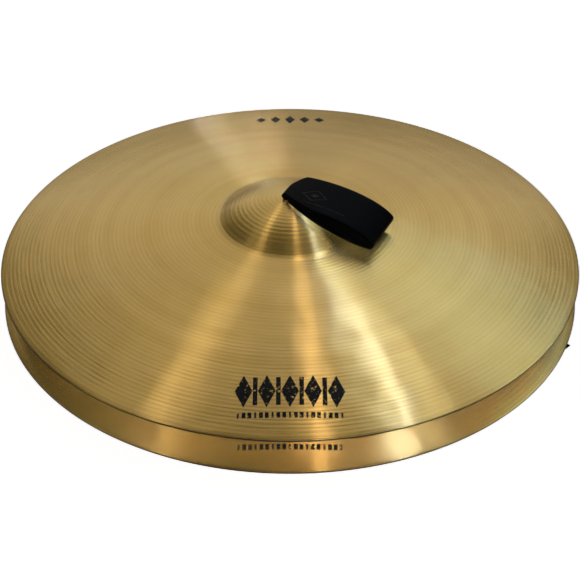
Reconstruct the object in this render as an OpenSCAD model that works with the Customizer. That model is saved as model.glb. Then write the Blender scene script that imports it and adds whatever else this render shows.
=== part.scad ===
// A pair of orchestral hand cymbals, one resting on the other, each with its leather strap.
// Origin: centre of the lower rim, on the surface that the pair stands on.
// +Z up, +X along the upper hand strap, millimetres.

/* [Cymbals] */
// Diameter of each cymbal
cymbal_d = 457.2; // [400:0.1:520]
// Height of the bell's top above the rim's upper edge
profile_h = 51.5; // [48:0.5:56]
// Radius of curvature of the bell's dome
dome_r = 90; // [84:1:96]
// Radius of curvature of the bow
bow_r = 790; // [740:10:840]
// Radius of the hollow blend between bell and bow
blend_r = 18; // [12:1:24]
// Thickness of the bronze at the centre
bell_t = 2; // [1.6:0.1:2.2]
// Thickness of the bronze at the rim
rim_t = 1.25; // [1:0.05:1.5]
// Width of the flat that the rim rests on
rim_flat = 1.2; // [0.8:0.1:2]
// Diameter of the centre hole
hole_d = 12.8; // [12.6:0.1:14]
// Height of the upper rim above the lower rim
rim_gap = 29.3; // [28.5:0.1:34]

/* [Straps] */
// Width of the hand loop
grip_w = 43; // [38:0.5:46]
// Thickness of the leather
leather_t = 2.8; // [2.2:0.1:2.8]
// Distance from the hole's axis to the folded end of the loop
grip_len = 79; // [76:1:82]
// Width of the strap where it enters the hole
neck_w = 15; // [12:0.5:16]
// Width of the two thongs together inside the hole
thong_pair_w = 11; // [9:0.5:11]
// Gap between the leather and the bronze
rest_gap = 0.45; // [0.3:0.05:0.6]
// Side of the square knot inside the bell
knot_side = 27; // [24:1:30]
// Height of the knot
knot_h = 16.8; // [12:0.2:17.4]

/* [Tails] */
// Width of one thong tail
tail_w = 6.5; // [5:0.5:7]
// Thickness of one thong tail
tail_t = 2.4; // [2:0.1:2.4]
// Radius at which the lower tails end
lower_tail_reach = 213; // [180:1:213]
// Radius at which the upper tails end
upper_tail_reach = 172; // [150:1:176]

/* [Hidden] */

$fn = 96;
bronze = "#a8925a";
leather = "#161616";

rim_r = cymbal_d / 2;
hole_r = hole_d / 2;
// Apex of the bell's outer face on each cymbal
lower_apex_z = profile_h + rim_t;
upper_apex_z = lower_apex_z + rim_gap;

// ---- Profile of a cymbal: a dome, a hollow blend and a bow, each a circular arc ----
// Heights are above the rim's upper edge.
dome_c = profile_h - dome_r;
bow_c = -sqrt(bow_r * bow_r - rim_r * rim_r);
dome_reach = dome_r + blend_r;
bow_reach = bow_r + blend_r;
blend_z = (pow(bow_reach, 2) - pow(dome_reach, 2) + dome_c * dome_c - bow_c * bow_c) / (2 * (dome_c - bow_c));
blend_x = sqrt(pow(dome_reach, 2) - pow(blend_z - dome_c, 2));
dome_end = blend_x * dome_r / dome_reach;
bow_start = blend_x * bow_r / bow_reach;

function outer_z(r) =
    r < dome_end ? dome_c + sqrt(dome_r * dome_r - r * r)
    : r < bow_start ? blend_z - sqrt(blend_r * blend_r - pow(r - blend_x, 2))
    : bow_c + sqrt(bow_r * bow_r - r * r);

slope_step = 0.05;
function slope(r) = (outer_z(r) - outer_z(r - slope_step)) / slope_step;

// The bronze thins evenly from the centre to the rim
function wall(r) = bell_t + (rim_t - bell_t) * r / rim_r;
function inner_z(r) = outer_z(r) - wall(r) * sqrt(1 + pow(slope(r), 2));

function span(a, b, n) = [for (i = [0 : n - 1]) a + (b - a) * i / n];
ring_radii = concat(
    span(hole_r, dome_end, 14),
    span(dome_end, bow_start, 8),
    span(bow_start, rim_r - rim_flat, 26),
    [rim_r - rim_flat]
);

// rest_plane is the height of the rim's lower edge
module cymbal(rest_plane) {
    count = len(ring_radii);
    top = [for (r = ring_radii) [r, outer_z(r)]];
    under = [for (i = [count - 1 : -1 : 0]) [ring_radii[i], inner_z(ring_radii[i])]];
    rim = [[rim_r, 0], [rim_r, -rim_t], [rim_r - rim_flat, -rim_t]];
    color(bronze)
        translate([0, 0, rest_plane + rim_t])
            rotate_extrude($fn = 240)
                polygon(concat(top, rim, under));
}

// ---- The strap: one strip of leather, folded in two, seen from the side ----
// Heights are above the bell's apex. The strip runs out along the bell, folds, and comes back on top.
layer_gap = 0.4;
hinge_z = rest_gap + leather_t + layer_gap / 2;
hinge_r = leather_t;
half_t = leather_t / 2;
lie_r = dome_r + rest_gap + half_t;
lie_end = 33;
lie_angle = asin(lie_end / lie_r);
lie_steps = 8;
curve_steps = 14;
fold_steps = 10;

function bezier(p, t) =
    pow(1 - t, 3) * p[0] + 3 * t * pow(1 - t, 2) * p[1] + 3 * t * t * (1 - t) * p[2] + pow(t, 3) * p[3];

// The fold is an arc that turns the strip back over itself
fold_r = 2.4;
fold_turn = 137;
fold_low = [grip_len - fold_r - half_t, -14.7];
fold_c = fold_low + [0, fold_r];
fold_high = fold_c + fold_r * [sin(fold_turn), -cos(fold_turn)];
back_dir = [cos(fold_turn), sin(fold_turn)];
lie_point = [lie_end, lie_r * cos(lie_angle) - dome_r];
lie_dir = [cos(lie_angle), -sin(lie_angle)];
under_curve = [lie_point, lie_point + 17 * lie_dir, fold_low - [15, 0], fold_low];
over_end = [0, hinge_z + half_t + layer_gap / 2];
over_curve = [fold_high, fold_high + 16 * back_dir, over_end + [33, 2.8], over_end];

strip_path = concat(
    [for (i = [0 : lie_steps - 1]) let (a = lie_angle * i / lie_steps) [lie_r * sin(a), lie_r * cos(a) - dome_r]],
    [for (i = [0 : curve_steps - 1]) bezier(under_curve, i / curve_steps)],
    [for (i = [0 : fold_steps - 1]) let (a = fold_turn * i / fold_steps) fold_c + fold_r * [sin(a), -cos(a)]],
    [for (i = [0 : curve_steps]) bezier(over_curve, i / curve_steps)]
);

function side_of(path, i) =
    let (a = path[max(i - 1, 0)], b = path[min(i + 1, len(path) - 1)], d = (b - a) / norm(b - a)) [-d[1], d[0]];
function shifted(path, d) = [for (i = [0 : len(path) - 1]) path[i] + d * side_of(path, i)];
function reversed(list) = [for (i = [len(list) - 1 : -1 : 0]) list[i]];

// Free room between parts that turn or sit in each other
joint_gap = 0.3;

// The loop starts beside the neck and widens over its shoulders
grip_start = hinge_r + joint_gap;
shoulder_end = 6.5;
start_w = neck_w + (grip_w - neck_w) * grip_start / shoulder_end;
plan_end = grip_len + 5;

module grip_plan() {
    polygon([
        [grip_start, start_w / 2], [shoulder_end, grip_w / 2], [plan_end, grip_w / 2],
        [plan_end, -grip_w / 2], [shoulder_end, -grip_w / 2], [grip_start, -start_w / 2]
    ]);
}

module along_y(length) {
    translate([0, length / 2, 0])
        rotate([90, 0, 0])
            linear_extrude(length)
                children();
}

plan_depth = 60;

// The hand loop, which hinges at the neck
module grip() {
    color(leather)
        intersection() {
            along_y(grip_w)
                polygon(concat(shifted(strip_path, half_t), reversed(shifted(strip_path, -half_t))));
            translate([0, 0, -plan_depth / 2])
                linear_extrude(plan_depth)
                    grip_plan();
        }
}

// The bend over the hole and, side by side, two stacks of two thongs that go down through it
module neck() {
    thong_w = (thong_pair_w - joint_gap) / 2;
    thong_y = (thong_w + joint_gap) / 2;
    color(leather) {
        translate([0, 0, hinge_z])
            rotate([90, 0, 0])
                cylinder(r = hinge_r, h = neck_w, center = true);
        for (side = [-1, 1])
            translate([-leather_t, side * thong_y - thong_w / 2, knot_top - leather_t])
                cube([2 * leather_t, thong_w, hinge_z - knot_top + leather_t]);
    }
}

// The square knot: two pairs of thongs laid across each other round a core
knot_drop = 1.9;
knot_top = -bell_t - knot_drop;
knot_layer = knot_h / 3;
knot_core = knot_side - 5;
corner_r = 3;

module rounded_slab(x, y, z) {
    linear_extrude(z)
        difference() {
            square([x, y], center = true);
            for (sx = [-1, 1], sy = [-1, 1])
                translate([sx * x / 2, sy * y / 2])
                    difference() {
                        square(2 * corner_r, center = true);
                        translate([-sx * corner_r, -sy * corner_r])
                            circle(corner_r);
                    }
        }
}

// Each tail leaves a side of the knot through a pocket that is a little larger than the tail
module tail_pocket() {
    room_below = 4 * joint_gap;
    translate([tail_start_r - joint_gap, -tail_w / 2 - joint_gap, tail_start_z - tail_t / 2 - room_below])
        cube([knot_side, tail_w + 2 * joint_gap, tail_t + room_below + joint_gap]);
}

module knot(tail_heading) {
    color(leather)
        difference() {
            translate([0, 0, knot_top - knot_h])
                union() {
                    rounded_slab(knot_side, knot_core, knot_layer);
                    translate([0, 0, knot_layer])
                        rounded_slab(knot_core, knot_side, knot_layer);
                    translate([0, 0, 2 * knot_layer])
                        rounded_slab(knot_side, knot_core, knot_layer);
                }
            translate([-leather_t, -thong_pair_w / 2, knot_top - leather_t])
                cube([2 * leather_t, thong_pair_w, leather_t + 1]);
            for (k = [0 : 3])
                rotate([0, 0, tail_heading + 90 * k])
                    tail_pocket();
        }
}

// ---- Tails: flat thongs that curl outwards from the knot ----
// A drop lists a tail's height above the apex against its radius.
tail_start_r = knot_side / 2 - 0.5;
tail_start_z = knot_top - 1.5 * knot_layer;
lie_lift = tail_t / 2 + 0.5;
over_lift = lie_lift + 0.5;
floor_z = -lower_apex_z + lie_lift;
function on_lower_cymbal(r) = outer_z(r) - profile_h - rim_gap + over_lift;

// Share of a tail's whole turn that it has made at radius r
function turn_at(r, reach) = pow(max(r - tail_start_r, 0) / (reach - tail_start_r), 1.25);

// Tails of the lower strap: down from the knot and out along the floor
lower_drop = [
    [tail_start_r, tail_start_z], [24, tail_start_z - 2.5], [40, -29], [56, -40], [74, floor_z + 1.5],
    [92, floor_z], [125, floor_z], [160, floor_z], [192, floor_z], [lower_tail_reach, floor_z]
];

// Tails of the upper strap: over the lower hand loop, then down to the lower cymbal
upper_drop = [
    [tail_start_r, tail_start_z], [28, -14.8], [43, -18.9], [54, -23], [64, -25.8], [78, -30.6], [92, -40],
    [106, on_lower_cymbal(106) + 2], [122, on_lower_cymbal(122)], [140, on_lower_cymbal(140)],
    [156, on_lower_cymbal(156)], [upper_tail_reach, on_lower_cymbal(upper_tail_reach)]
];

function route(drop, turn) =
    let (reach = drop[len(drop) - 1][0]) [for (p = drop) [p[0], turn * turn_at(p[0], reach), p[1]]];

function round_point(p, heading) = [p[0] * cos(heading + p[1]), p[0] * sin(heading + p[1]), p[2]];
function spline(a, b, c, d, t) =
    0.5 * (2 * b + (c - a) * t + (2 * a - 5 * b + 4 * c - d) * t * t + (3 * b - a - 3 * c + d) * t * t * t);
spline_steps = 3;
function smooth(p) = concat(
    [for (i = [0 : len(p) - 2], k = [0 : spline_steps - 1])
        spline(p[max(i - 1, 0)], p[i], p[i + 1], p[min(i + 2, len(p) - 1)], k / spline_steps)],
    [p[len(p) - 1]]
);

function level_side(path, i) =
    let (a = path[max(i - 1, 0)], b = path[min(i + 1, len(path) - 1)], flat = norm([b[0] - a[0], b[1] - a[1]]))
    [-(b[1] - a[1]) / flat, (b[0] - a[0]) / flat, 0];
function up_side(path, i) =
    let (a = path[max(i - 1, 0)], b = path[min(i + 1, len(path) - 1)]) cross((b - a) / norm(b - a), level_side(path, i));

module flat_sweep(path, w, t) {
    n = len(path);
    corners = [for (i = [0 : n - 1])
        let (s = level_side(path, i) * w / 2, u = up_side(path, i) * t / 2)
        each [path[i] - s - u, path[i] + s - u, path[i] + s + u, path[i] - s + u]];
    walls = [for (i = [0 : n - 2], k = [0 : 3])
        [4 * i + k, 4 * i + (k + 1) % 4, 4 * (i + 1) + (k + 1) % 4, 4 * (i + 1) + k]];
    triangles = [for (q = walls) each [[q[0], q[3], q[1]], [q[1], q[3], q[2]]]];
    ends = [[0, 1, 2], [0, 2, 3], [4 * n - 4, 4 * n - 2, 4 * n - 3], [4 * n - 4, 4 * n - 1, 4 * n - 2]];
    polyhedron(points = corners, faces = concat(triangles, ends), convexity = 4);
}

// Tail k leaves side k of the knot
lower_turns = [-20, 26, -30, 22];
upper_turns = [38, 46, 34, 42];

module tail(points, heading) {
    color(leather)
        flat_sweep(smooth([for (p = points) round_point(p, heading)]), tail_w, tail_t);
}

// ---- Placing ----
lower_strap_heading = 90;
// The first lower tail points along the upper strap; the others follow the knot's four sides
lower_tail_heading = 24;
upper_tail_heading = 45;

module lower_place() {
    translate([0, 0, lower_apex_z])
        rotate([0, 0, lower_strap_heading])
            children();
}

module upper_place() {
    translate([0, 0, upper_apex_z])
        children();
}

module lower_tail(k) {
    translate([0, 0, lower_apex_z])
        tail(route(lower_drop, lower_turns[k]), lower_tail_heading + 90 * k);
}

module upper_tail(k) {
    upper_place()
        tail(route(upper_drop, upper_turns[k]), upper_tail_heading + 90 * k);
}

cymbal(0);  // lower_cymbal
lower_place() grip();  // lower_strap_grip
lower_place() neck();  // lower_strap_neck
lower_place() knot(lower_tail_heading - lower_strap_heading);  // lower_strap_knot
lower_tail(0);  // lower_strap_tail_1
lower_tail(1);  // lower_strap_tail_2
lower_tail(2);  // lower_strap_tail_3
lower_tail(3);  // lower_strap_tail_4
cymbal(rim_gap);  // upper_cymbal
upper_place() grip();  // upper_strap_grip
upper_place() neck();  // upper_strap_neck
upper_place() knot(upper_tail_heading);  // upper_strap_knot
upper_tail(0);  // upper_strap_tail_1
upper_tail(1);  // upper_strap_tail_2
upper_tail(2);  // upper_strap_tail_3
upper_tail(3);  // upper_strap_tail_4
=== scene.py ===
import math

import bmesh
import bpy
from mathutils import Matrix, Vector, noise


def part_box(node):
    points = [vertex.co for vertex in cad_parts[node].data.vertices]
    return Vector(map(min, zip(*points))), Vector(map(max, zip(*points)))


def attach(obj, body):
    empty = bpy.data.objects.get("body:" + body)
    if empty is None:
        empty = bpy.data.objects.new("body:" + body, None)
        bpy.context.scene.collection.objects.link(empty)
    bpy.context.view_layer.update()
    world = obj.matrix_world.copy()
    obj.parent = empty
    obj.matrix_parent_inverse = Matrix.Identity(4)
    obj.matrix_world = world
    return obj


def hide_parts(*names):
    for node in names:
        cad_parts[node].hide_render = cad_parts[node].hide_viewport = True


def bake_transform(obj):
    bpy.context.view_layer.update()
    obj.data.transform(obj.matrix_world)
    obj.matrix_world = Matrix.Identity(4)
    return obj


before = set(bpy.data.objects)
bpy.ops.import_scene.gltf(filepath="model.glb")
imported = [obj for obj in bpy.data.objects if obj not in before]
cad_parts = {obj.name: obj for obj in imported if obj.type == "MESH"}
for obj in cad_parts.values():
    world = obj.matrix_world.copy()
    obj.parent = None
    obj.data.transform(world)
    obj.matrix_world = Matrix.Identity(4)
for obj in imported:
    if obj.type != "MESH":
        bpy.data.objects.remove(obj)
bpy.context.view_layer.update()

MM = 0.001

# ---- Sizes, in metres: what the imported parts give, and the arcs of the cymbals' profile ----
rim_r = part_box("upper_cymbal")[1].x
lower_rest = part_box("lower_cymbal")[0].z
upper_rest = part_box("upper_cymbal")[0].z

dome_r = 90 * MM
bow_r = 790 * MM
blend_r = 18 * MM
bell_t = 2 * MM
rim_t = 1.25 * MM
hole_r = 6.4 * MM
profile_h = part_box("lower_cymbal")[1].z - lower_rest - rim_t + dome_r - math.sqrt(dome_r**2 - hole_r**2)
lower_apex = lower_rest + rim_t + profile_h
upper_apex = upper_rest + rim_t + profile_h
rim_gap = upper_rest - lower_rest

dome_c = profile_h - dome_r
bow_c = -math.sqrt(bow_r**2 - rim_r**2)
dome_reach = dome_r + blend_r
bow_reach = bow_r + blend_r
blend_z = (bow_reach**2 - dome_reach**2 + dome_c**2 - bow_c**2) / (2 * (dome_c - bow_c))
blend_x = math.sqrt(dome_reach**2 - (blend_z - dome_c) ** 2)
dome_end = blend_x * dome_r / dome_reach
bow_start = blend_x * bow_r / bow_reach


def outer_z(r):
    """Height of the outer face above the rim's upper edge."""
    if r < dome_end:
        return dome_c + math.sqrt(dome_r**2 - r * r)
    if r < bow_start:
        return blend_z - math.sqrt(blend_r**2 - (r - blend_x) ** 2)
    return bow_c + math.sqrt(bow_r**2 - r * r)


def inner_z(r):
    """Height of the inner face, a wall's thickness below the outer one and square to it."""
    step = 0.05 * MM
    slope = (outer_z(r) - outer_z(r - step)) / step
    wall = bell_t + (rim_t - bell_t) * r / rim_r
    return outer_z(r) - wall * math.sqrt(1 + slope * slope)


def held(value):
    """The value, held between 0 and 1."""
    return min(1.0, max(0.0, value))


def steps(a, b, n):
    """Even steps from a towards b, without b itself."""
    return [a + (b - a) * i / n for i in range(n)]


# ---- Camera: the photograph's viewing angle ----
CAMERA_AZIMUTH = math.radians(24.5)
CAMERA_ELEVATION = math.radians(34.6)
CAMERA_DISTANCE = 1.237
CAMERA_PITCH = math.radians(36.08)
CAMERA_LENS = 96.0
target = Vector((0, 0, upper_rest + rim_t))


def toward(azimuth, elevation):
    """Unit vector from the object to a viewer; azimuth 0 stands on the -Y side and 90 on the +X side."""
    flat = math.cos(elevation)
    return Vector((math.sin(azimuth) * flat, -math.cos(azimuth) * flat, math.sin(elevation)))


view_dir = toward(CAMERA_AZIMUTH, CAMERA_ELEVATION)


def make_camera():
    data = bpy.data.cameras.new("camera")
    data.lens = CAMERA_LENS
    data.sensor_width = 36.0
    data.clip_end = 50
    camera = bpy.data.objects.new("camera", data)
    camera.location = target + view_dir * CAMERA_DISTANCE
    camera.rotation_euler = (math.pi / 2 - CAMERA_PITCH, 0, CAMERA_AZIMUTH)
    bpy.context.scene.collection.objects.link(camera)
    bpy.context.scene.camera = camera


make_camera()


# ---- Node helpers ----
class Nodes:
    """A node tree, with short calls for the nodes used here. A value is a number, a colour or a socket."""

    def __init__(self, tree):
        self.tree = tree

    def add(self, kind, **settings):
        node = self.tree.nodes.new(kind)
        for key, value in settings.items():
            setattr(node, key, value)
        return node

    def feed(self, socket, value):
        if isinstance(value, bpy.types.NodeSocket):
            self.tree.links.new(value, socket)
        else:
            socket.default_value = value

    def maths(self, operation, a, b=0.0):
        node = self.add("ShaderNodeMath", operation=operation)
        self.feed(node.inputs[0], a)
        self.feed(node.inputs[1], b)
        return node.outputs[0]

    def spread(self, value, low, high, to_low=0.0, to_high=1.0, curve="LINEAR"):
        """A value's place between low and high, laid out between to_low and to_high."""
        node = self.add("ShaderNodeMapRange", interpolation_type=curve, clamp=True)
        values = {"Value": value, "From Min": low, "From Max": high, "To Min": to_low, "To Max": to_high}
        for key, v in values.items():
            self.feed(node.inputs[key], v)
        return node.outputs["Result"]

    def fractal(self, dimensions, place, scale, detail, rough):
        node = self.add("ShaderNodeTexNoise", noise_dimensions=dimensions)
        self.feed(node.inputs["W" if dimensions == "1D" else "Vector"], place)
        self.feed(node.inputs["Scale"], scale)
        self.feed(node.inputs["Detail"], detail)
        self.feed(node.inputs["Roughness"], rough)
        return node.outputs["Fac"]

    def noise1(self, along, scale, detail=2.0, rough=0.5):
        return self.fractal("1D", along, scale, detail, rough)

    def noise3(self, place, scale, detail=2.0, rough=0.5):
        return self.fractal("3D", place, scale, detail, rough)

    def mix(self, factor, a, b, blend_type="MIX"):
        node = self.add("ShaderNodeMix", data_type="RGBA", blend_type=blend_type)
        self.feed(node.inputs[0], factor)
        self.feed(node.inputs[6], a)
        self.feed(node.inputs[7], b)
        return node.outputs[2]

    def bump(self, height, distance, normal=None):
        node = self.add("ShaderNodeBump")
        self.feed(node.inputs["Height"], height)
        self.feed(node.inputs["Distance"], distance)
        self.feed(node.inputs["Strength"], 1.0)
        if normal is not None:
            self.feed(node.inputs["Normal"], normal)
        return node.outputs["Normal"]

    def place(self):
        return self.add("ShaderNodeTexCoord").outputs["Object"]

    def grey(self, value):
        node = self.add("ShaderNodeCombineColor")
        for socket in node.inputs[:3]:
            self.feed(socket, value)
        return node.outputs[0]

    def radius(self, place):
        """Distance from the Z axis, in millimetres."""
        parts = self.add("ShaderNodeSeparateXYZ")
        self.feed(parts.inputs[0], place)
        x2 = self.maths("MULTIPLY", parts.outputs["X"], parts.outputs["X"])
        y2 = self.maths("MULTIPLY", parts.outputs["Y"], parts.outputs["Y"])
        return self.maths("MULTIPLY", self.maths("SQRT", self.maths("ADD", x2, y2)), 1000.0)

    def polar(self, place, radius, per_radian, per_mm):
        """A noise vector that runs slowly round the Z axis and quickly outwards, with no seam."""
        flat = self.add("ShaderNodeVectorMath", operation="MULTIPLY")
        self.feed(flat.inputs[0], place)
        self.feed(flat.inputs[1], (1, 1, 0))
        unit = self.add("ShaderNodeVectorMath", operation="NORMALIZE")
        self.feed(unit.inputs[0], flat.outputs[0])
        ring = self.add("ShaderNodeVectorMath", operation="SCALE")
        self.feed(ring.inputs[0], unit.outputs[0])
        self.feed(ring.inputs["Scale"], per_radian)
        rise = self.add("ShaderNodeCombineXYZ")
        self.feed(rise.inputs["Z"], self.maths("MULTIPLY", radius, per_mm))
        total = self.add("ShaderNodeVectorMath", operation="ADD")
        self.feed(total.inputs[0], ring.outputs[0])
        self.feed(total.inputs[1], rise.outputs[0])
        return total.outputs[0]


class Surface(Nodes):
    """A material with one Principled shader."""

    def __init__(self, name):
        self.material = bpy.data.materials.new(name)
        self.material.use_nodes = True
        super().__init__(self.material.node_tree)
        self.shader = self.tree.nodes["Principled BSDF"]

    def set(self, key, value):
        self.feed(self.shader.inputs[key], value)


# ---- Materials ----
BRONZE = (0.88, 0.58, 0.155, 1)
BRONZE_DEEP = (0.78, 0.50, 0.11, 1)
BRONZE_PALE = (0.92, 0.63, 0.205, 1)
# Painted shade: a dark, dull bronze for the faces that turn downwards.
UNDERSIDE_PAINTED_SHADE = (0.46, 0.39, 0.25, 1)
RIM_BROWN = (0.10, 0.065, 0.03, 1)
GROOVE_PITCH = 3.3  # millimetres
GROOVE_RELIEF = 0.036 * MM
FINE_RELIEF = 0.015 * MM
CHATTER_RELIEF = 0.12 * MM
LEATHER_BLACK = (0.0004, 0.00045, 0.0006, 1)
LEATHER_BLOOM = (0.0012, 0.0014, 0.0018, 1)
INK_BLACK = (0.006, 0.005, 0.004, 1)
GILT = (0.075, 0.055, 0.028, 1)
GILT_RUBBED = (0.008, 0.007, 0.006, 1)


def bronze_material():
    """Lacquered bronze off a lathe: grooves with painted shade in their troughs, chatter, tonal rings,
    tarnish, painted shade on the downward faces, a raw rim.
    """
    n = Surface("lathed_bronze")
    place = n.place()
    radius = n.radius(place)
    rings = n.noise1(radius, 0.05)
    patches = n.noise3(place, 14.0, 3.0, 0.55)
    drift = n.maths("MULTIPLY", n.noise1(radius, 0.11, 1.0), 0.9)
    turns = n.maths("MULTIPLY", n.maths("ADD", radius, drift), 2 * math.pi / GROOVE_PITCH)
    depth = n.spread(n.noise1(radius, 0.25, 1.0), 0.3, 0.7, 0.35, 1.0)
    grooves = n.maths("MULTIPLY", n.maths("SINE", turns), depth)
    fine = n.noise1(radius, 1.5, rough=0.6)
    chatter = n.noise3(n.polar(place, radius, 8.0, 0.5), 1.0)
    edge = n.spread(radius, rim_r / MM - 0.45, rim_r / MM - 0.1)

    tone = n.mix(n.spread(rings, 0.3, 0.7), BRONZE_DEEP, BRONZE)
    tone = n.mix(n.spread(patches, 0.35, 0.7, 0.0, 0.5), tone, BRONZE_PALE)
    # Painted shade: the grooves' troughs are darkened in colour, following the same sine as their bump; the
    # fine noise adds random tone.
    groove_shade_and_tone = n.maths("ADD", n.maths("MULTIPLY", grooves, 0.045), n.maths("MULTIPLY", fine, 0.16))
    tone = n.mix(1.0, tone, n.grey(n.maths("ADD", groove_shade_and_tone, 0.90)), "MULTIPLY")
    # Painted shade: faces that turn downwards are mixed towards a dark, dull bronze, which also damps the
    # orange light bounced between the cymbals.
    facing = n.add("ShaderNodeSeparateXYZ")
    n.feed(facing.inputs[0], n.add("ShaderNodeTexCoord").outputs["Normal"])
    tone = n.mix(n.spread(facing.outputs["Z"], -0.3, 0.0, 0.8, 0.0), tone, UNDERSIDE_PAINTED_SHADE)
    n.set("Base Color", n.mix(edge, tone, RIM_BROWN))
    n.set("Metallic", 1.0)

    worn = n.maths("ADD", n.maths("MULTIPLY", fine, 0.5), n.maths("MULTIPLY", patches, 0.5))
    rough = n.spread(worn, 0.3, 0.7, 0.22, 0.265)
    n.set("Roughness", n.maths("ADD", rough, n.maths("MULTIPLY", edge, 0.2)))
    bell = n.spread(radius, 38.0, 56.0, 1.7, 1.0)
    normal = n.bump(n.maths("MULTIPLY", grooves, bell), GROOVE_RELIEF)
    normal = n.bump(fine, FINE_RELIEF, normal)
    normal = n.bump(chatter, CHATTER_RELIEF, normal)
    n.set("Normal", normal)
    n.set("Anisotropic", 1.0)
    n.set("Anisotropic Rotation", 0.25)
    n.set("Tangent", n.add("ShaderNodeTangent", direction_type="RADIAL", axis="Z").outputs[0])
    n.set("Coat Weight", 0.5)
    n.set("Coat Roughness", 0.13)
    n.set("Coat Normal", normal)
    return n.material


def leather_material():
    """Black bridle leather: pebbled grain, pores and a faint bloom where it has been handled."""
    n = Surface("black_leather")
    place = n.place()
    grain = n.add("ShaderNodeTexVoronoi", feature="DISTANCE_TO_EDGE")
    n.feed(grain.inputs["Vector"], place)
    n.feed(grain.inputs["Scale"], 900.0)
    pores = n.noise3(place, 1600.0, rough=0.6)
    wear = n.noise3(place, 60.0, 3.0, 0.6)
    pebble = n.spread(grain.outputs["Distance"], 0.0, 0.16)
    n.set("Base Color", n.mix(n.spread(wear, 0.35, 0.7), LEATHER_BLACK, LEATHER_BLOOM))
    n.set("Roughness", n.spread(wear, 0.3, 0.7, 0.36, 0.48))
    n.set("Specular IOR Level", 0.03)
    n.set("Normal", n.bump(pores, 0.02 * MM, n.bump(pebble, 0.035 * MM)))
    return n.material


def ink_material():
    """Black print with flecks worn away to the bronze."""
    n = Surface("worn_black_ink")
    place = n.place()
    flecks = n.noise3(place, 420.0, 4.0, 0.7)
    worn = n.spread(flecks, 0.61, 0.65)
    n.set("Base Color", n.mix(worn, INK_BLACK, BRONZE_DEEP))
    n.set("Metallic", worn)
    n.set("Roughness", n.spread(flecks, 0.3, 0.7, 0.5, 0.42))
    n.set("Specular IOR Level", 0.15)
    n.set("Normal", n.bump(flecks, 0.01 * MM))
    return n.material


def gilt_material():
    """Gold foil that has mostly rubbed off the leather."""
    n = Surface("faded_gilt")
    worn = n.spread(n.noise3(n.place(), 500.0, 3.0, 0.7), 0.42, 0.58)
    n.set("Base Color", n.mix(worn, GILT, GILT_RUBBED))
    n.set("Roughness", n.spread(worn, 0.0, 1.0, 0.4, 0.55))
    n.set("Specular IOR Level", 0.12)
    return n.material


bronze = bronze_material()
leather = leather_material()
ink = ink_material()
gilt = gilt_material()


# ---- Mesh helpers ----
def add_mesh(name, points, faces, material, smooth=True):
    """A new object with its faces turned outwards."""
    mesh = bpy.data.meshes.new(name)
    mesh.from_pydata([tuple(p) for p in points], [], faces)
    mesh.materials.append(material)
    b = bmesh.new()
    b.from_mesh(mesh)
    bmesh.ops.recalc_face_normals(b, faces=b.faces)
    b.to_mesh(mesh)
    b.free()
    mesh.polygons.foreach_set("use_smooth", [smooth] * len(mesh.polygons))
    piece = bpy.data.objects.new(name, mesh)
    bpy.context.scene.collection.objects.link(piece)
    return piece


def ring_faces(rows, columns, ends_meet=False, base=0):
    """Faces between rows of points, where each row is a closed ring. The last row may meet the first."""
    faces = []
    for i in range(rows if ends_meet else rows - 1):
        row, following = base + i * columns, base + (i + 1) % rows * columns
        for k in range(columns):
            beside = (k + 1) % columns
            faces.append((row + k, row + beside, following + beside, following + k))
    return faces


# ---- Cymbals ----
SEGMENTS = 288
DENT = 0.19 * MM
DENTS_PER_METRE = 48
RIM_ROUND = 0.3 * MM
UPPER_SEED = 11.3
LOWER_SEED = 3.7


def hammered(x, y, seed):
    """Height of the shallow hammer marks at a point, which fade out at the rim and at the bell's top."""
    r = math.hypot(x, y)
    fade = held((rim_r - r) / (6 * MM)) * held((r - 40 * MM) / (40 * MM))
    p = Vector((x * DENTS_PER_METRE, y * DENTS_PER_METRE, seed))
    return DENT * fade * (noise.noise(p) + 0.4 * noise.noise(p * 2.1))


def cymbal_z(x, y, seed):
    """Height of a hammered outer face above the rim's upper edge."""
    return outer_z(math.hypot(x, y)) + hammered(x, y, seed)


def make_cymbal(level, rest, seed):
    """A closed shell turned from rings: out over the outer face, round the rim and back in below."""
    top = steps(hole_r, dome_end, 34) + steps(dome_end, bow_start, 12)
    top += steps(bow_start, rim_r - 0.5 * MM, 128)
    under = steps(rim_r - 1.3 * MM, bow_start, 52) + steps(bow_start, dome_end, 8)
    under += steps(dome_end, hole_r, 16) + [hole_r]
    edge = rim_r - 0.25 * MM
    profile = [(r, "top") for r in top]
    profile += [(edge, -0.04 * MM), (rim_r, -RIM_ROUND), (rim_r, RIM_ROUND - rim_t)]
    profile += [(edge, -rim_t), (rim_r - 1.2 * MM, -rim_t)]
    profile += [(r, "under") for r in under]
    points = []
    for r, height in profile:
        for k in range(SEGMENTS):
            a = 2 * math.pi * k / SEGMENTS
            x, y = r * math.cos(a), r * math.sin(a)
            if height == "top":
                z = cymbal_z(x, y, seed)
            elif height == "under":
                z = inner_z(r) + hammered(x, y, seed)
            else:
                z = height
            points.append((x, y, rest + rim_t + z))
    faces = ring_faces(len(profile), SEGMENTS, ends_meet=True)
    piece = add_mesh(f"{level}_bronze", points, faces, bronze)
    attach(piece, f"{level}_cymbal")
    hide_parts(f"{level}_cymbal")
    return piece


lower_bronze = make_cymbal("lower", lower_rest, LOWER_SEED)
make_cymbal("upper", upper_rest, UPPER_SEED)


# ---- Strips of leather ----
def bezier(p, t):
    """The point at share t of the curve that four points draw."""
    weights = ((1 - t) ** 3, 3 * t * (1 - t) ** 2, 3 * t * t * (1 - t), t**3)
    return sum((w * q for w, q in zip(weights, p)), Vector((0, 0)))


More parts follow.
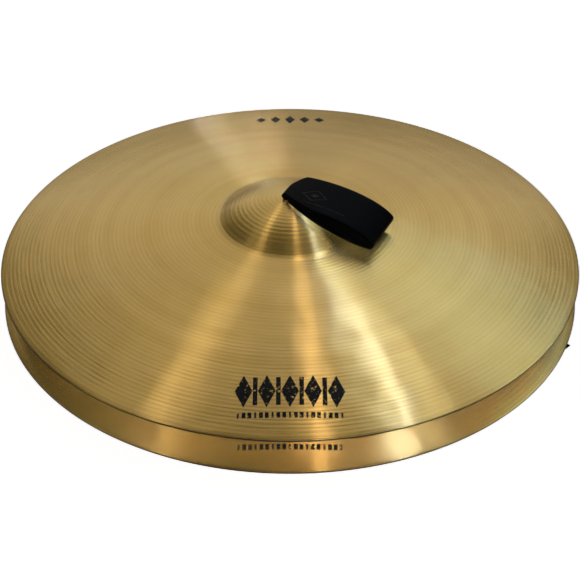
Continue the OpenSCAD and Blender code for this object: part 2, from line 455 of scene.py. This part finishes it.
def catmull(p, per):
    """A smooth line through points, with per steps between each two."""
    out = []
    for i in range(len(p) - 1):
        a, b, c, d = p[max(i - 1, 0)], p[i], p[i + 1], p[min(i + 2, len(p) - 1)]
        for k in range(per):
            t = k / per
            bend = (2 * a - 5 * b + 4 * c - d) * t * t
            twist = (3 * b - a - 3 * c + d) * t**3
            out.append(0.5 * (2 * b + (c - a) * t + bend + twist))
    return out + [p[-1]]


def direction(line, i):
    """Which way a line of points runs at point i."""
    return (line[min(i + 1, len(line) - 1)] - line[max(i - 1, 0)]).normalized()


def section(width, thick, edge, per_corner=4):
    """A strip's cross-section, as offsets sideways and upwards: a flat rectangle with rounded edges."""
    edge = min(edge, thick * 0.49, width * 0.49)
    points = []
    for cx, cy, start in ((1, 1, 0), (-1, 1, 90), (-1, -1, 180), (1, -1, 270)):
        for k in range(per_corner + 1):
            a = math.radians(start + 90 * k / per_corner)
            x = cx * (width / 2 - edge) + edge * math.cos(a)
            y = cy * (thick / 2 - edge) + edge * math.sin(a)
            points.append((x, y))
    return points


def widen(points, spans):
    """Adds points along the two wide faces, so that a wide strip can bend and take grain."""
    n = len(points) // 4
    out = []
    for q in range(4):
        out += points[q * n : (q + 1) * n]
        if q in (0, 2):
            a, b = points[(q + 1) * n - 1], points[((q + 1) * n) % len(points)]
            for k in range(1, spans):
                out.append((a[0] + (b[0] - a[0]) * k / spans, a[1] + (b[1] - a[1]) * k / spans))
    return out


def sweep_strip(name, centres, sides, ups, widths, thicks, edge, spans):
    """A leather strip along its centres, with its width laid along sides and its thickness along ups."""
    points = []
    for c, s, u, w, t in zip(centres, sides, ups, widths, thicks):
        for x, y in widen(section(w, t, edge), spans):
            points.append(c + s * x + u * y)
    columns = len(points) // len(centres)
    faces = ring_faces(len(centres), columns)
    faces.append(tuple(range(columns)))
    faces.append(tuple(range(len(points) - columns, len(points))))
    return add_mesh(name, points, faces, leather)


# ---- Hand straps: one strip, up through the hole, out along the bell, folded, back and down again ----
UPPER_HEADING = 0.0
LOWER_HEADING = math.pi / 2
leather_t = 2.8 * MM
strap_edge = 0.75 * MM
rest_gap = 0.45 * MM
layer_gap = 0.4 * MM
grip_w = 43 * MM
grip_len = 79 * MM
neck_w = 15 * MM
in_hole_w = 10.4 * MM
steep_shoulder = 6.5 * MM
long_shoulder = 32 * MM
half_t = leather_t / 2
hinge_z = rest_gap + leather_t + layer_gap / 2
lie_r = dome_r + rest_gap + half_t
leave_bell = 33 * MM
lie_angle = math.asin(leave_bell / lie_r)
fold_r = 2.4 * MM
fold_turn = math.radians(137)
fold_low = Vector((grip_len - fold_r - half_t, -14.7 * MM))
fold_c = fold_low + Vector((0, fold_r))
fold_high = fold_c + fold_r * Vector((math.sin(fold_turn), -math.cos(fold_turn)))
back_dir = Vector((math.cos(fold_turn), math.sin(fold_turn)))
over_end = Vector((0, hinge_z + half_t + layer_gap / 2))
over_bulge = Vector((leave_bell, 2.8 * MM))
layer_steps = 34
knot_top = -bell_t - 1.9 * MM
strip_end_z = knot_top - 2 * MM


def upper_layer():
    """The middle of the loop's upper layer, from the fold back to the neck."""
    line = [fold_high, fold_high + 16 * MM * back_dir, over_end + over_bulge, over_end]
    return [bezier(line, k / layer_steps) for k in range(layer_steps + 1)]


def strap_path():
    """The strip seen from the side: distance from the hole's axis, and height above the bell's apex."""
    hole_x = 1.45 * MM
    turn_r = 2.3 * MM
    lie_z = rest_gap + half_t
    points = [Vector((hole_x, z)) for z in steps(strip_end_z, lie_z - turn_r, 7)]
    for k in range(7):
        a = math.pi / 2 * k / 6
        points.append(Vector((hole_x + turn_r * (1 - math.cos(a)), lie_z - turn_r + turn_r * math.sin(a))))
    start = math.asin((hole_x + turn_r + 1 * MM) / lie_r)
    for a in steps(start, lie_angle, 14):
        points.append(Vector((lie_r * math.sin(a), lie_r * math.cos(a) - dome_r)))
    lie_point = Vector((lie_r * math.sin(lie_angle), lie_r * math.cos(lie_angle) - dome_r))
    lie_dir = Vector((math.cos(lie_angle), -math.sin(lie_angle)))
    under = [lie_point, lie_point + 17 * MM * lie_dir, fold_low - Vector((15 * MM, 0)), fold_low]
    points += [bezier(under, k / 22) for k in range(22)]
    for k in range(14):
        a = fold_turn * k / 14
        points.append(fold_c + fold_r * Vector((math.sin(a), -math.cos(a))))
    points += upper_layer()[:-1]
    bend_r = 2.6 * MM
    for k in range(11):
        a = math.pi / 2 * k / 10
        points.append(over_end + Vector((-bend_r * math.sin(a), -bend_r * (1 - math.cos(a)))))
    low = over_end + Vector((-bend_r, -bend_r))
    end = Vector((-hole_x, strip_end_z))
    down = [low, low - Vector((0, 2.6 * MM)), end + Vector((0, 4 * MM)), end]
    points += [bezier(down, k / 10) for k in range(1, 11)]
    return points


def half_width(x, z, shoulder):
    """Half the strip's width on one side: narrow in the hole, wider over it, and full past the shoulder."""
    lead = 1.5 * MM
    share = held((x + lead) / (shoulder + lead))
    wide = neck_w + (grip_w - neck_w) * (1 - (1 - share) ** 1.6)
    if x > 3.2 * MM:
        return wide / 2
    rise = held((z - 0.2 * MM) / (2.2 * MM))
    return (in_hole_w + (wide - in_hole_w) * rise) / 2


def make_strap(level, apex, heading):
    """The whole strip, swept along its side path and turned to its heading."""
    path = strap_path()
    count = len(path)
    out = Vector((math.cos(heading), math.sin(heading), 0))
    side = Vector((-math.sin(heading), math.cos(heading), 0))
    up = Vector((0, 0, 1))
    centres = [out * p.x + up * (apex + p.y) for p in path]
    ups = []
    for i in range(count):
        d = direction(path, i)
        ups.append(out * -d.y + up * d.x)
    steep = [half_width(p.x, p.y, steep_shoulder) for p in path]
    long = [half_width(p.x, p.y, long_shoulder) for p in path]
    centres = [c + side * (a - b) / 2 for c, a, b in zip(centres, steep, long)]
    widths = [a + b for a, b in zip(steep, long)]
    sides, thicks = [side] * count, [leather_t] * count
    piece = sweep_strip(f"{level}_strap", centres, sides, ups, widths, thicks, strap_edge, spans=14)
    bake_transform(piece)
    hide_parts(f"{level}_strap_grip", f"{level}_strap_neck")


make_strap("upper", upper_apex, UPPER_HEADING)
make_strap("lower", lower_apex, LOWER_HEADING)


# ---- Knots: thongs woven over and under round a square core ----
knot_side = 27 * MM
knot_h = 16.8 * MM
tail_w = 6.5 * MM
tail_t = 2.4 * MM
thongs_each_way = 4


def knot_ring(index, across):
    """One thong that runs round the core: over its top, down a side, under it and up again."""
    weave = 0.9 * MM
    corner = 2.6 * MM
    pitch = (knot_side - 1.6 * MM) / thongs_each_way
    middle = (thongs_each_way - 1) / 2
    half = knot_side / 2 - tail_t / 2
    tall = knot_h / 2 - tail_t / 2
    reach = half - corner
    rise = tall - corner - weave
    flat = []
    for k in range(25):
        x = -half + corner + (2 * half - 2 * corner) * k / 24
        wave = weave * math.cos(math.pi * ((x / pitch) + middle + index + across))
        flat.append((x, tall - weave + wave))

    def bend(a, z):
        return reach + corner * math.cos(a), z + corner * math.sin(a)

    side = [bend(math.pi / 2 * (1 - k / 6), rise) for k in range(1, 6)]
    side += [(half, rise * (1 - 2 * k / 4)) for k in range(5)]
    side += [bend(-math.pi / 2 * k / 6, -rise) for k in range(1, 6)]
    offset = (index - middle) * pitch
    points = [Vector((sign * x, offset, sign * z)) for sign in (1, -1) for x, z in flat + side]
    if across:
        points = [Vector((-p.y, p.x, p.z)) for p in points]
    return points


def make_knot(level, apex, heading):
    """Four thongs each way round the core, with the whole knot turned to its strap's heading."""
    middle = apex + knot_top - knot_h / 2
    c, s = math.cos(heading), math.sin(heading)
    shape = section(tail_w - 0.5 * MM, tail_t, 0.9 * MM, 3)
    points, faces = [], []
    for across in (False, True):
        side = Vector((1, 0, 0)) if across else Vector((0, 1, 0))
        for index in range(thongs_each_way):
            ring = knot_ring(index, across)
            faces += ring_faces(len(ring), len(shape), ends_meet=True, base=len(points))
            for i, p in enumerate(ring):
                d = (ring[(i + 1) % len(ring)] - ring[i - 1]).normalized()
                up = side.cross(d)
                for x, y in shape:
                    q = p + side * x + up * y
                    points.append((q.x * c - q.y * s, q.x * s + q.y * c, middle + q.z))
    piece = add_mesh(f"{level}_knot", points, faces, leather)
    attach(piece, f"{level}_strap")
    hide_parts(f"{level}_strap_knot")


make_knot("upper", upper_apex, UPPER_HEADING)
make_knot("lower", lower_apex, LOWER_HEADING)


# ---- Tails: flat thongs that curl outwards from the knots ----
tail_start_r = knot_side / 2 - 0.5 * MM
tail_start_z = knot_top - knot_h / 2
lie_lift = tail_t / 2 + 0.5 * MM
floor_z = -(lower_apex - lower_rest) + lie_lift
lower_reach = 213 * MM
upper_reach = 172 * MM
tail_edge = 0.8 * MM
cut_steps = 5


def on_lower(r):
    """Height of a tail that lies on the lower cymbal, from the upper apex."""
    return outer_z(r) - profile_h - rim_gap + lie_lift + 0.5 * MM


def mm_points(points):
    """A route's points, from millimetres."""
    return [(r * MM, z * MM) for r, z in points]


# The tails' routes: distance from the axis, and height from the apex.
lower_drop = [(tail_start_r, tail_start_z), (24 * MM, tail_start_z - 2.5 * MM)]
lower_drop += mm_points([(40, -29), (56, -40)])
lower_drop += [(74 * MM, floor_z + 1.5 * MM)]
lower_drop += [(r * MM, floor_z) for r in (92, 125, 160, 192)] + [(lower_reach, floor_z)]
upper_drop = [(tail_start_r, tail_start_z)]
upper_drop += mm_points([(28, -14.8), (43, -18.9), (54, -23), (64, -25.8), (78, -30.6), (92, -40)])
upper_drop += [(106 * MM, on_lower(106 * MM) + 2 * MM)]
upper_drop += [(r * MM, on_lower(r * MM)) for r in (122, 140, 156)] + [(upper_reach, on_lower(upper_reach))]
# A route, each tail's turn in degrees on its way out, the first one's heading in degrees, and the apex.
TAILS = {
    "lower": (lower_drop, (-20, 26, -30, 22), 24, lower_apex),
    "upper": (upper_drop, (38, 46, 34, 42), 45, upper_apex),
}


def skived_tip(line):
    """The first lower tail runs on under the rim, pared thin, and just shows beyond it."""
    end = line[-1]
    d = (line[-1] - line[-2]).normalized()
    thin = 0.6 * MM
    # Millimetres past the end, and the share of the thickness that is still there.
    more = [(4, 0.8), (8, 0.45), (12, 0.12), (18.2, 0.0)]
    thicks = [tail_t] * len(line)
    last_z = lower_rest + thin / 2 + 0.02 * MM
    for step, keep in more:
        p = end + Vector((d.x, d.y, 0)).normalized() * step * MM
        p.z = last_z + (end.z - last_z) * keep
        line.append(p)
        thicks.append(thin + (tail_t - thin) * keep)
    return line, thicks


def make_tail(level, k):
    """One of a strap's four tails, cut narrower at its end unless it is the one that is pared thin."""
    drop, turns, heading, apex = TAILS[level]
    reach = drop[-1][0]
    points = []
    for r, z in drop:
        share = (max(r - tail_start_r, 0) / (reach - tail_start_r)) ** 1.25
        a = math.radians(heading + 90 * k + turns[k] * share)
        points.append(Vector((r * math.cos(a), r * math.sin(a), apex + z)))
    tip = level == "lower" and k == 0
    line = catmull(points, 8)
    thicks = [tail_t] * len(line)
    if tip:
        line, thicks = skived_tip(line)
    n = len(line)
    sides, ups = [], []
    for i in range(n):
        d = direction(line, i)
        side = Vector((-d.y, d.x, 0)).normalized()
        sides.append(side)
        ups.append(d.cross(side))
    widths = [tail_w] * n
    if not tip:
        widths = [tail_w * (1 - 0.45 * max(0, i - (n - 1 - cut_steps)) / cut_steps) for i in range(n)]
    piece = sweep_strip(f"{level}_tail_{k + 1}", line, sides, ups, widths, thicks, tail_edge, spans=3)
    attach(piece, f"{level}_strap")
    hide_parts(f"{level}_strap_tail_{k + 1}")


for level in ("lower", "upper"):
    for k in range(4):
        make_tail(level, k)


# ---- Printed marks: plain shapes with no lettering ----
# All in millimetres, like the shapes themselves.
MARK_SPACING = 1.4
ROW_RADIUS = 188.5
BACK_RADIUS = 190
DASH_RADIUS = 208.2


def quad_grid(corners, spacing):
    """Points over a four-cornered patch, row by row, and how many rows and columns they make."""
    a, b, c, d = (Vector(p) for p in corners)
    columns = max(1, round(max((b - a).length, (c - d).length) / spacing)) + 1
    rows = max(1, round(max((d - a).length, (c - b).length) / spacing)) + 1
    points = []
    for i in range(rows):
        v = i / (rows - 1)
        for j in range(columns):
            u = j / (columns - 1)
            points.append(a * (1 - u) * (1 - v) + b * u * (1 - v) + c * u * v + d * (1 - u) * v)
    return points, rows, columns


def slab_faces(base, rows, columns):
    """Faces of a thin closed slab: an upper grid, a lower grid and the border between them."""
    size = rows * columns
    faces = []
    for i in range(rows - 1):
        for j in range(columns - 1):
            q = base + i * columns + j
            faces.append((q, q + 1, q + columns + 1, q + columns))
            faces.append((q + size, q + columns + size, q + columns + 1 + size, q + 1 + size))
    border = list(range(columns - 1))
    border += [columns - 1 + i * columns for i in range(rows - 1)]
    border += [(rows - 1) * columns + j for j in range(columns - 1, 0, -1)]
    border += [i * columns for i in range(rows - 1, 0, -1)]
    for i, q in enumerate(border):
        p = border[(i + 1) % len(border)]
        faces.append((base + q, base + q + size, base + p + size, base + p))
    return faces


def make_mark(name, shapes, lay, material, body):
    """Shapes are patches in millimetres; lay gives the place on the surface of one of their points."""
    points, faces = [], []
    for corners in shapes:
        grid, rows, columns = quad_grid(corners, MARK_SPACING)
        base = len(points)
        for lift in (0.07 * MM, 0.01 * MM):
            points += [lay(p * MM) + Vector((0, 0, lift)) for p in grid]
        faces += slab_faces(base, rows, columns)
    piece = add_mesh(name, points, faces, material, smooth=False)
    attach(piece, body)


def on_bronze(azimuth, seed, rest):
    """Lays a point's x across, and its y outwards from the cymbal's axis."""
    out = Vector((math.cos(azimuth), math.sin(azimuth)))
    side = Vector((-out.y, out.x))

    def lay(p):
        x, y = out * p.y + side * p.x
        return Vector((x, y, rest + rim_t + cymbal_z(x, y, seed)))

    return lay


def on_upper_loop(p):
    """Lays a point on the upper strap's outer layer: its x along the strap, its y across."""
    line = upper_layer()
    tops = []
    for i, q in enumerate(line):
        d = direction(line, i)
        tops.append(q + half_t * Vector((d.y, -d.x)))
    for a, b in zip(tops, tops[1:]):
        if b.x <= p.x <= a.x:
            return Vector((p.x, p.y, upper_apex + b.y + (a.y - b.y) * (p.x - b.x) / (a.x - b.x)))
    raise ValueError("the loop's outer layer does not reach there")


def lozenge(x, y, w, h):
    return [(x - w / 2, y), (x, y - h / 2), (x + w / 2, y), (x, y + h / 2)]


def outline(x, y, w, h, line):
    """The four sides of a lozenge, as patches of one line's width."""
    outer = lozenge(x, y, w, h)
    inner = [(x + (a - x) * (1 - 2 * line / w), y + (b - y) * (1 - 2 * line / h)) for a, b in outer]
    return [(outer[i], outer[(i + 1) % 4], inner[(i + 1) % 4], inner[i]) for i in range(4)]


def bar(x, y, w, h):
    return [(x - w / 2, y - h / 2), (x + w / 2, y - h / 2), (x + w / 2, y + h / 2), (x - w / 2, y + h / 2)]


def row_mark(y, h):
    """A bold row of five tall lozenges with a bar between each two."""
    pitch = 16.2
    shapes = [lozenge(i * pitch, y, 12.4, h) for i in range(-2, 3)]
    shapes += [bar(i * pitch + pitch / 2, y, 3.2, h * 0.86) for i in range(-2, 2)]
    return shapes


def dash_line(y, h, count, width):
    """A fine line of short dashes and dots."""
    pitch = width / count
    start = -(count - 1) / 2
    return [bar((start + i) * pitch, y, pitch * (0.66 if i % 3 else 0.34), h) for i in range(count)]


FRONT = CAMERA_AZIMUTH - math.pi / 2
BACK = CAMERA_AZIMUTH + math.pi / 2
upper_front = on_bronze(FRONT, UPPER_SEED, upper_rest)
upper_back = on_bronze(BACK, UPPER_SEED, upper_rest)
lower_front = on_bronze(FRONT, LOWER_SEED, lower_rest)
fine_line = dash_line(DASH_RADIUS, 4.4, 19, 76)
front_mark = row_mark(ROW_RADIUS, 27) + fine_line
back_mark = [lozenge(x, BACK_RADIUS, 9, 24 - abs(x) * 0.4) for x in (-26, -13, 0, 13, 26)]
strap_mark = outline(22, -2, 21, 15, 1.0) + [lozenge(22, -2, 8, 5), bar(34, -13, 34, 0.5)]
make_mark("upper_print_front", front_mark, upper_front, ink, "upper_cymbal")
make_mark("lower_print_front", fine_line, lower_front, ink, "lower_cymbal")
make_mark("upper_print_back", back_mark, upper_back, ink, "upper_cymbal")
make_mark("strap_mark", strap_mark, on_upper_loop, gilt, "upper_grip")


# ---- Stage and lights ----
STAGE_RADIUS = 12
LIGHT_DISTANCE = 2.4
WHITE = (1, 1, 1, 1)


def make_floor():
    """A pale table top that lights itself almost to white and takes the object's shadow."""
    under = (0, 0, lower_rest - 0.2 * MM)
    bpy.ops.mesh.primitive_circle_add(vertices=96, radius=STAGE_RADIUS, fill_type="NGON", location=under)
    floor = bpy.context.object
    floor.name = "floor"
    n = Surface("pale_floor")
    speck = n.noise3(n.place(), 40.0)
    n.set("Base Color", n.mix(speck, (0.90, 0.90, 0.90, 1), (0.93, 0.93, 0.93, 1)))
    n.set("Roughness", 0.9)
    n.set("Emission Color", WHITE)
    n.set("Emission Strength", 0.92)
    floor.data.materials.append(n.material)
    floor.visible_glossy = False


def make_backdrop():
    """A pale dome that only the camera sees, so that low views end in the same studio white."""
    radius, middle = STAGE_RADIUS - 0.1, (0, 0, lower_rest)
    bpy.ops.mesh.primitive_uv_sphere_add(segments=48, ring_count=24, radius=radius, location=middle)
    dome = bpy.context.object
    dome.name = "backdrop"
    n = Surface("pale_backdrop")
    speck = n.noise3(n.place(), 2.0)
    n.set("Base Color", (0, 0, 0, 1))
    n.set("Specular IOR Level", 0.0)
    n.set("Emission Color", n.mix(speck, (0.99, 0.99, 0.99, 1), WHITE))
    n.set("Emission Strength", 1.0)
    dome.data.materials.append(n.material)
    dome.visible_glossy = dome.visible_diffuse = dome.visible_shadow = False


def make_world(strength, lobes):
    """An even studio, lighter or darker by each lobe: azimuth, elevation, inner and outer angle, gain."""
    world = bpy.data.worlds.new("studio")
    world.use_nodes = True
    bpy.context.scene.world = world
    n = Nodes(world.node_tree)
    sky = n.add("ShaderNodeTexCoord").outputs["Generated"]
    total = 1.0
    for azimuth, elevation, near, far, gain in lobes:
        dot = n.add("ShaderNodeVectorMath", operation="DOT_PRODUCT")
        n.feed(dot.inputs[0], sky)
        n.feed(dot.inputs[1], toward(CAMERA_AZIMUTH + math.radians(azimuth), math.radians(elevation)))
        low, high = math.cos(math.radians(far)), math.cos(math.radians(near))
        share = n.spread(dot.outputs["Value"], low, high, curve="SMOOTHSTEP")
        total = n.maths("ADD", total, n.maths("MULTIPLY", share, gain))
    background = n.tree.nodes["Background"]
    n.feed(background.inputs["Color"], WHITE)
    n.feed(background.inputs["Strength"], n.maths("MULTIPLY", n.maths("MAXIMUM", total, 0.05), strength))


# Lights are placed by azimuths in degrees from the camera's.
def mirror_dir(azimuth, tilt):
    """Direction of the light that a face turned by tilt, in degrees, towards azimuth sends to the camera."""
    a = CAMERA_AZIMUTH + math.radians(azimuth)
    t = math.radians(tilt)
    normal = Vector((math.sin(a) * math.sin(t), -math.cos(a) * math.sin(t), math.cos(t)))
    return (2 * view_dir.dot(normal) * normal - view_dir).normalized()


def mirror_ends(azimuth, tilts):
    """Both ends of a light for faces turned by either tilt."""
    return [mirror_dir(azimuth, tilt) * LIGHT_DISTANCE for tilt in tilts]


def glint_point(azimuth, radius):
    """Place of a light that the camera sees mirrored in the upper bow, at a radius in millimetres."""
    a = CAMERA_AZIMUTH + math.radians(azimuth)
    out = Vector((math.sin(a), -math.cos(a), 0))
    tilt = math.asin(radius * MM / bow_r)
    face = out * math.sin(tilt) + Vector((0, 0, math.cos(tilt)))
    point = target + out * radius * MM + Vector((0, 0, outer_z(radius * MM)))
    sight = (target + view_dir * CAMERA_DISTANCE - point).normalized()
    return point + (2 * sight.dot(face) * face - sight) * LIGHT_DISTANCE


def panel(name, first, last, width, radiance, colour, see_through=False, only_on=()):
    """A long flat light between two points, facing the origin. It casts no shadow and leaves the floor alone.

    A see-through one also reaches metal that another piece hides from it. The pieces in only_on, if there
    are any, are all that it lights.
    """
    middle = (first + last) / 2
    along = (last - first).normalized()
    back = (middle - along * middle.dot(along)).normalized()
    across = along.cross(back)
    data = bpy.data.lights.new(name, "AREA")
    data.shape = "RECTANGLE"
    data.size = width
    data.size_y = (last - first).length
    data.energy = radiance * data.size * data.size_y * math.pi
    data.color = colour
    data.use_shadow = False
    data.cycles.use_multiple_importance_sampling = not see_through
    light = bpy.data.objects.new(name, data)
    light.visible_diffuse = False
    light.matrix_world = Matrix.Translation(middle) @ Matrix((across, along, back)).transposed().to_4x4()
    bpy.context.scene.collection.objects.link(light)
    if only_on:
        group = bpy.data.collections.new(name)
        for piece in only_on:
            group.objects.link(piece)
        light.light_linking.receiver_collection = group


def strip_light(name, azimuth, width, radiance, colour, tilts=(8, 42)):
    """A light that lies along the directions which one radius of the disc sends to the camera."""
    panel(name, *mirror_ends(azimuth, tilts), width, radiance, colour, see_through=True)


def far_strip(name, azimuth, width, radiance, colour):
    """A strip for the disc's far side, where the camera's nearness bends the reflection most."""
    ends = [glint_point(azimuth, radius) for radius in (70, 228)]
    panel(name, *ends, width, radiance, colour, see_through=True)


def bank(name, azimuth, elevations, width, radiance):
    """A broad light that stands at an azimuth from the camera, between two elevations."""
    a = CAMERA_AZIMUTH + math.radians(azimuth)
    ends = [toward(a, math.radians(e)) * LIGHT_DISTANCE for e in elevations]
    panel(name, *ends, width, radiance, (1.0, 0.98, 0.95))


make_floor()
make_backdrop()
make_world(0.13, [(248, 45, 15, 40, -0.6), (0, 90, 12, 34, -0.6), (0, -90, 60, 88, 0.4)])
strip_light("white_strip", 20.5, 0.02, 14.5, (0.55, 0.74, 1.35))
strip_light("warm_strip", 5.5, 0.03, 3.8, (1.0, 0.84, 0.72))
far_strip("white_far_strip", 202.5, 0.02, 5.0, (0.85, 0.92, 1.0))
far_strip("warm_far_strip", 187, 0.04, 0.9, (1.0, 0.9, 0.78))
strip_light("left_strip", -23.5, 0.15, 0.62, (1.0, 0.88, 0.72))
strip_light("halo_strip", 27, 0.10, 1.2, (0.7, 0.8, 1.0))
strip_light("right_softbox", 48, 0.9, 0.22, (0.9, 0.9, 0.88), tilts=(5, 46))
panel("blue_softbox", *mirror_ends(48, (5, 46)), 0.9, 0.36, (0.08, 0.5, 1.0))
panel("back_bank", *mirror_ends(0, (-13, 22)), 2.5, 0.39, (1.0, 0.98, 0.96))
panel("band_bank", *mirror_ends(0, (2, 22)), 2.1, 0.36, (0.95, 0.98, 1.03), True, [lower_bronze])
bank("front_bank", 20, (15, 55), 1.8, 0.42)
bank("right_bank", 95, (15, 50), 1.6, 0.4)
bank("left_bank", -60, (15, 50), 1.6, 0.42)

bpy.context.scene.view_settings.view_transform = "Standard"
